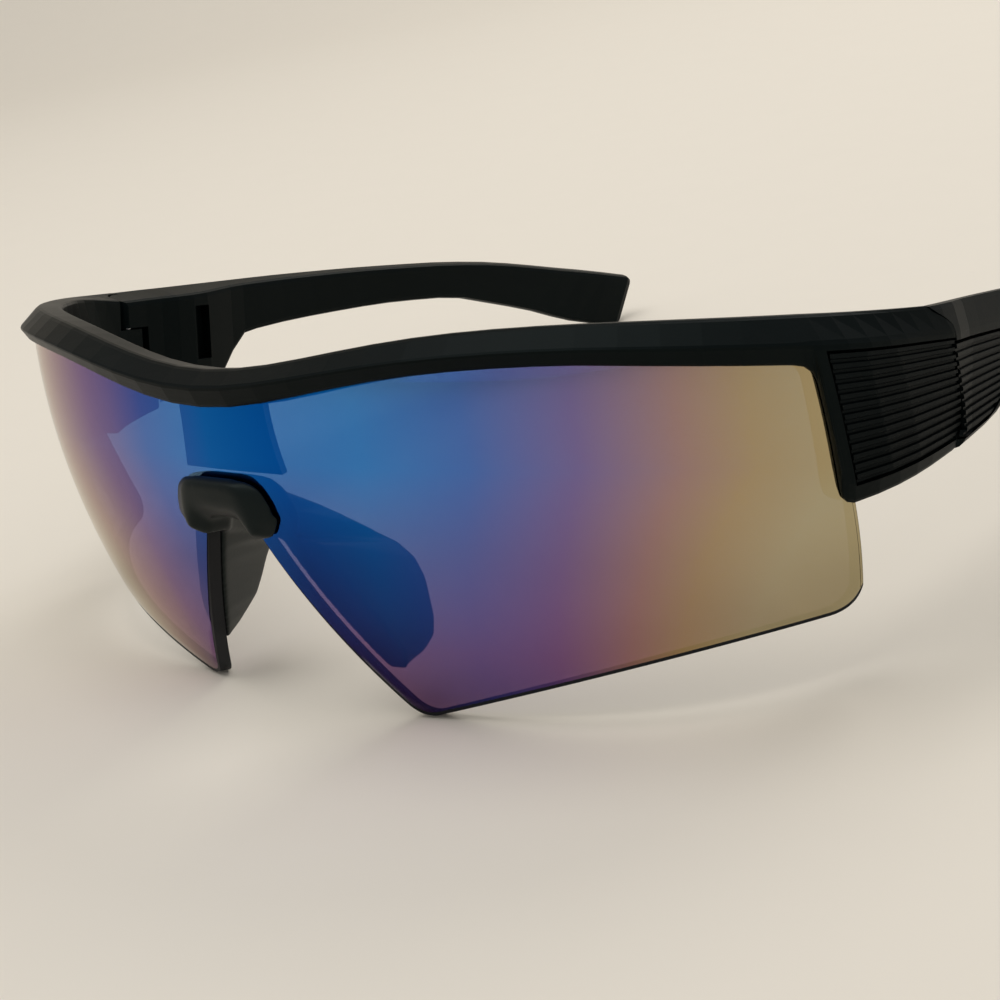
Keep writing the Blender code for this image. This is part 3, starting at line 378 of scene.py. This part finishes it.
def wrap_point(turn, z, proud=0.0):
    """A point on the toric blank at a turn round its plan ellipse and a height, or proud of it."""
    across = math.sin(turn) / WRAP_HALF_WIDTH
    ahead = -math.cos(turn) / WRAP_DEPTH
    length = math.hypot(across, ahead)
    level_drop = CROWN_APEX_Z - WRAP_LEVEL_Z
    sink = ((CROWN_APEX_Z - z) ** 2 - level_drop ** 2) / (2 * CROWN_RADIUS)
    x = WRAP_HALF_WIDTH * math.sin(turn) + across / length * (proud - sink)
    y = WRAP_DEPTH * (1 - math.cos(turn) - WRAP_FRONT_SHARE) + ahead / length * (proud - sink)
    return Vector((x, y, z))


def turn_at(x, z):
    turn = 0.0
    for _ in range(TURN_TRIES):
        slope = WRAP_HALF_WIDTH * max(math.cos(turn), TURN_LEAST_COSINE)
        turn += (x - wrap_point(turn, z).x) / slope
    return turn


def notch_edge(z):
    down = NOTCH_EDGE_Z - z
    return NOTCH_EDGE_X + NOTCH_SPLAY_SHARE * down + down * down / (2 * NOTCH_BOW_RADIUS)


def brow_low(x):
    fall = BROW_LOW_FALL_SHARE * max(x - BROW_FALL_START, 0)
    return BROW_LOW_Z - BROW_LOW_DIP * math.exp(-((x / BROW_LOW_SPREAD) ** 2)) - fall


def lens_columns():
    """Feet of the half lens's columns as (turn, z), from the top of the notch to the side edge."""
    points = []
    for step in range(NOTCH_TOP_STEPS + 1):
        swing = math.radians(NOTCH_TOP_DEGREES) * step / NOTCH_TOP_STEPS
        points.append(Vector((NOTCH_TOP_RADIUS * math.sin(swing),
                              NOTCH_TOP_Z - NOTCH_TOP_RADIUS * (1 - math.cos(swing)))))
    for step in range(NOTCH_EDGE_STEPS + 1):
        z = mix(NOTCH_EDGE_Z, LENS_LOW_Z + NOSE_CORNER_RADIUS, step / NOTCH_EDGE_STEPS)
        points.append(Vector((notch_edge(z), z)))
    corner = Vector((notch_edge(LENS_LOW_Z), LENS_LOW_Z))
    outer = Vector((wrap_point(SIDE_TURN_BOTTOM, OUTER_LOW_Z).x, OUTER_LOW_Z))
    run = (outer - corner).normalized()
    start = points[-1]
    foot_start = corner + run * NOSE_CORNER_RADIUS * NOSE_CORNER_RUN_SHARE
    foot_end = outer - run * OUTER_CORNER_RADIUS * OUTER_CORNER_RUN_SHARE
    for step in range(1, NOSE_CORNER_STEPS + 1):
        points.append(ease(start, corner, foot_start, step / NOSE_CORNER_STEPS))
    for step in range(1, LENS_FOOT_STEPS + 1):
        points.append(foot_start + (foot_end - foot_start) * step / LENS_FOOT_STEPS)
    columns = [(turn_at(x, z), z) for x, z in points]
    last_turn, last_z = columns[-1]
    high = OUTER_LOW_Z + OUTER_CORNER_RADIUS * OUTER_CORNER_RISE_SHARE
    for step in range(1, OUTER_CORNER_STEPS + 1):
        share = step / OUTER_CORNER_STEPS
        columns.append((ease(last_turn, SIDE_TURN_BOTTOM, SIDE_TURN_BOTTOM, share),
                        ease(last_z, OUTER_LOW_Z, high, share)))
    return columns


def lens_mesh():
    """The whole lens: an outer and an inner sheet with a bevelled bare edge between them."""
    half = lens_columns()
    columns = [(-turn, z) for turn, z in half[:0:-1]] + half
    lean = SIDE_TURN_TOP / SIDE_TURN_BOTTOM
    rows = []
    for row in range(LENS_ROWS + 1):
        share = row / LENS_ROWS
        line = []
        for turn_low, z_low in columns:
            turn_top = turn_low * lean
            z_top = brow_low(abs(WRAP_HALF_WIDTH * math.sin(turn_top))) + LENS_TUCK
            line.append((mix(turn_top, turn_low, share), mix(z_top, z_low, share)))
        rows.append(line)

    last = len(columns) - 1
    rim = [(0, j) for j in range(last + 1)] + [(i, last) for i in range(1, LENS_ROWS + 1)]
    rim += [(LENS_ROWS, j) for j in range(last - 1, -1, -1)]
    rim += [(i, 0) for i in range(LENS_ROWS - 1, 0, -1)]
    spots = [wrap_point(*rows[i][j]) for i, j in rim]
    pull = {}
    for k, (i, j) in enumerate(rim):
        along = spots[(k + 1) % len(rim)] - spots[k - 1]
        inward = along.cross(wrap_point(*rows[i][j], PROUD_PROBE) - spots[k]).normalized()
        pull[i, j] = inward * BEVEL_WIDTH
    if (wrap_point(0, LENS_MIDDLE_Z) - spots[0]).dot(pull[rim[0]]) < 0:
        pull = {key: -value for key, value in pull.items()}

    shape = bmesh.new()
    sheets = []
    for proud in (0.0, -LENS_THICKNESS):
        sheets.append([[shape.verts.new(wrap_point(turn, z, proud) + pull.get((i, j), Vector()))
                        for j, (turn, z) in enumerate(line)] for i, line in enumerate(rows)])
    for slot, sheet in enumerate(sheets):
        for i in range(LENS_ROWS):
            for j in range(last):
                corners = (sheet[i][j], sheet[i + 1][j], sheet[i + 1][j + 1], sheet[i][j + 1])
                face = shape.faces.new(corners if slot == 0 else corners[::-1])
                face.material_index = slot
    bands = [[sheets[0][i][j] for i, j in rim]]
    for proud in (-BEVEL_DEPTH, -LENS_THICKNESS + BEVEL_DEPTH):
        bands.append([shape.verts.new(wrap_point(*rows[i][j], proud)) for i, j in rim])
    bands.append([sheets[1][i][j] for i, j in rim])
    for one, two in zip(bands, bands[1:]):
        for k in range(len(rim)):
            n = (k + 1) % len(rim)
            shape.faces.new((one[k], one[n], two[n], two[k])).material_index = len(sheets)
    bmesh.ops.recalc_face_normals(shape, faces=shape.faces)
    bmesh.ops.transform(shape, matrix=worn, verts=shape.verts)
    mesh = bpy.data.meshes.new("mirrored_shield")
    shape.to_mesh(mesh)
    shape.free()
    mesh.shade_smooth()
    mesh.set_sharp_from_angle(angle=math.radians(SHARP_DEGREES))
    return mesh


def coated_face():
    """The coated outer face: a tinted mirror whose colour runs with the place on the lens."""
    finish = Finish("mirror_coated_face")
    worn_axes = worn.inverted()
    from_origin = finish.wire(finish.put("VectorMath", {"operation": "SUBTRACT"},
                                         {0: finish.place(), 1: tuple(worn.translation)}))

    def worn_place(axis):
        node = finish.put("VectorMath", {"operation": "DOT_PRODUCT"},
                          {0: from_origin, 1: tuple(worn_axes[axis][:3])})
        return finish.wire(node, "Value")

    def past(value):
        return finish.wire(finish.put("Math", {"operation": "MAXIMUM"}, {0: value, 1: 0.0}))

    x, z = worn_place(0), worn_place(2)
    sideways = finish.wire(finish.put("Math", {"operation": "ABSOLUTE"}, {0: x - COAT_CENTRE_X}))
    run = sideways - COAT_FAR_SHARE * past(COAT_FAR_X - x)
    down = past(COAT_DROP_FROM_Z - z) / COAT_DROP
    reach = run / COAT_REACH * (1 + COAT_FAN_SHARE * down)
    drift = COAT_DRIFT * (finish.noise(COAT_DRIFT_SCALE, COAT_DRIFT_DETAIL) - NOISE_MIDDLE)
    coating = finish.wire(finish.put("ValToRGB", {"stops": COATING}, {"Fac": reach + drift}))
    haze = finish.noise(COAT_HAZE_SCALE, COAT_HAZE_DETAIL)
    mirror = finish.put("BsdfPrincipled", {}, {
        # Darker towards the bottom and the middle: painted shade of the reflected floor laid over
        # the coating's colour.
        "Base Color": finish.blend(COAT_LOW_SHADE_SHARE * down * (1 - reach), coating, COAT_LOW_SHADE),
        "Metallic": 1.0,
        "Roughness": COAT_ROUGHNESS + COAT_HAZE_ROUGHNESS * haze})
    high = finish.put("BsdfTransparent", {}, {"Color": (*THROUGH_HIGH, 1)})
    low = finish.put("BsdfTransparent", {}, {"Color": (*THROUGH_LOW, 1)})
    through = finish.put("MixShader", {}, {"Fac": THROUGH_LOW_SHARE * down,
                                           1: finish.wire(high), 2: finish.wire(low)})
    return finish.end(finish.put("MixShader", {}, {
        "Fac": COAT_COVER + COAT_COVER_GAIN * reach,
        1: finish.wire(through), 2: finish.wire(mirror)}))


def smoke_face(name, colour, cover, roughness, shine):
    """Bare smoke polycarbonate: dark, and see-through in part."""
    finish = Finish(name)
    haze = finish.noise(SMOKE_HAZE_SCALE, SMOKE_HAZE_DETAIL)
    hazy = tuple(value * SMOKE_HAZE_GAIN for value in colour)
    smoke = finish.put("BsdfPrincipled", {}, {
        "Base Color": finish.blend(haze, colour, hazy),
        "Roughness": roughness + SMOKE_HAZE_ROUGHNESS * haze,
        "Specular IOR Level": shine})
    through = finish.put("BsdfTransparent", {}, {"Color": (*SMOKE_THROUGH, 1)})
    return finish.end(finish.put("MixShader", {}, {
        "Fac": cover + SMOKE_HAZE_COVER * haze,
        1: finish.wire(through), 2: finish.wire(smoke)}))


lens = bpy.data.objects.new("mirrored_shield", lens_mesh())
bpy.context.scene.collection.objects.link(lens)
lens.data.materials.append(coated_face())
lens.data.materials.append(smoke_face("smoke_inner_face", SMOKE, SMOKE_COVER,
                                      SMOKE_ROUGHNESS, SMOKE_SHINE))
lens.data.materials.append(smoke_face("smoke_cut_edge", EDGE_SMOKE, EDGE_COVER,
                                      EDGE_ROUGHNESS, EDGE_SHINE))
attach(lens, "front")
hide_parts("shield_lens")


# Studio: a pale cream paper sweep that runs up behind the glasses, under one broad soft lamp above
# and another behind. The air past the sweep is one pale tone for the camera and the gloss alike.
SWEEP_COLOUR = (0.80, 0.750, 0.665)
SWEEP_HALF_WIDTH = 1.6
SWEEP_FRONT_Y = -1.2
SWEEP_BEND_Y = 0.75
SWEEP_BEND_RADIUS = 0.55
SWEEP_BEND_STEPS = 16
SWEEP_HEIGHT = 1.5
SWEEP_TURN_DEGREES = 40
PAPER_ROUGHNESS = 0.92
PAPER_SHINE = 0.1
FIBRE_SCALE = 90
FIBRE_DETAIL = 5
FIBRE_SHADE = 0.985
FIBRE_ROUGHNESS = 0.04
LAMP_COLOUR = (1.0, 0.985, 0.96)
AIR_LIGHT = (0.52, 0.512, 0.502)


def sweep_mesh():
    """The paper as one sheet: level, then a quarter turn, then upright."""
    line = [(SWEEP_FRONT_Y, 0.0)]
    for step in range(SWEEP_BEND_STEPS + 1):
        swing = math.pi / 2 * step / SWEEP_BEND_STEPS
        line.append((SWEEP_BEND_Y + SWEEP_BEND_RADIUS * math.sin(swing),
                     SWEEP_BEND_RADIUS * (1 - math.cos(swing))))
    line.append((SWEEP_BEND_Y + SWEEP_BEND_RADIUS, SWEEP_HEIGHT))
    shape = bmesh.new()
    turned = Matrix.Rotation(math.radians(SWEEP_TURN_DEGREES), 3, "Z")
    left, right = ([shape.verts.new(turned @ Vector((side * SWEEP_HALF_WIDTH, y, z)))
                    for y, z in line] for side in (-1, 1))
    for k in range(len(line) - 1):
        shape.faces.new((right[k], right[k + 1], left[k + 1], left[k]))
    mesh = bpy.data.meshes.new("paper_sweep")
    shape.to_mesh(mesh)
    shape.free()
    mesh.shade_smooth()
    return mesh


def cream_paper():
    finish = Finish("cream_paper")
    fibre = finish.noise(FIBRE_SCALE, FIBRE_DETAIL)
    shaded = tuple(value * FIBRE_SHADE for value in SWEEP_COLOUR)
    return finish.end(finish.put("BsdfPrincipled", {}, {
        "Base Color": finish.blend(fibre, SWEEP_COLOUR, shaded),
        "Roughness": PAPER_ROUGHNESS + FIBRE_ROUGHNESS * fibre,
        "Specular IOR Level": PAPER_SHINE}))


def lamp(name, place, aim, size, power):
    """A round soft area lamp."""
    light = bpy.data.lights.new(name, "AREA")
    light.shape = "DISK"
    light.size = size
    light.energy = power
    light.color = LAMP_COLOUR
    made = bpy.data.objects.new(name, light)
    made.location = place
    made.rotation_euler = (Vector(aim) - Vector(place)).to_track_quat("-Z", "Y").to_euler()
    bpy.context.scene.collection.objects.link(made)


sweep = bpy.data.objects.new("paper_sweep", sweep_mesh())
bpy.context.scene.collection.objects.link(sweep)
sweep.data.materials.append(cream_paper())
lamp("top_lamp", place=(-0.10, -0.20, 0.95), aim=(0, 0, 0), size=0.9, power=3.8)
lamp("back_lamp", place=(-0.05, 0.85, 0.75), aim=(-0.10, 0.40, 0.02), size=0.7, power=3.0)

world = bpy.data.worlds.new("studio_air")
bpy.context.scene.world = world
world.use_nodes = True
world.node_tree.nodes["Background"].inputs["Color"].default_value = (*AIR_LIGHT, 1)
bpy.context.scene.view_settings.view_transform = "Standard"


# Camera: held near and low at the wearer's left. Its place and directions were solved from the
# glasses' mirror symmetry, and are written in their own frame as worn.
CAMERA_PLACE = (0.17342, -0.18887, 0.014365)
CAMERA_RIGHT = (0.756776, 0.652782, -0.034140)
CAMERA_LOOK = (-0.648906, 0.743934, -0.159635)
CAMERA_LENS = 70.2
CAMERA_SENSOR = 36
CAMERA_NEAR = 0.01

look = Vector(CAMERA_LOOK).normalized()
right = Vector(CAMERA_RIGHT)
right = (right - look * right.dot(look)).normalized()
stance = Matrix((right, right.cross(look), -look)).transposed().to_4x4()
stance.translation = Vector(CAMERA_PLACE)
camera_data = bpy.data.cameras.new("photo_camera")
camera_data.lens = CAMERA_LENS
camera_data.sensor_width = CAMERA_SENSOR
camera_data.clip_start = CAMERA_NEAR
camera = bpy.data.objects.new("photo_camera", camera_data)
camera.matrix_world = worn @ stance
bpy.context.scene.collection.objects.link(camera)
bpy.context.scene.camera = camera
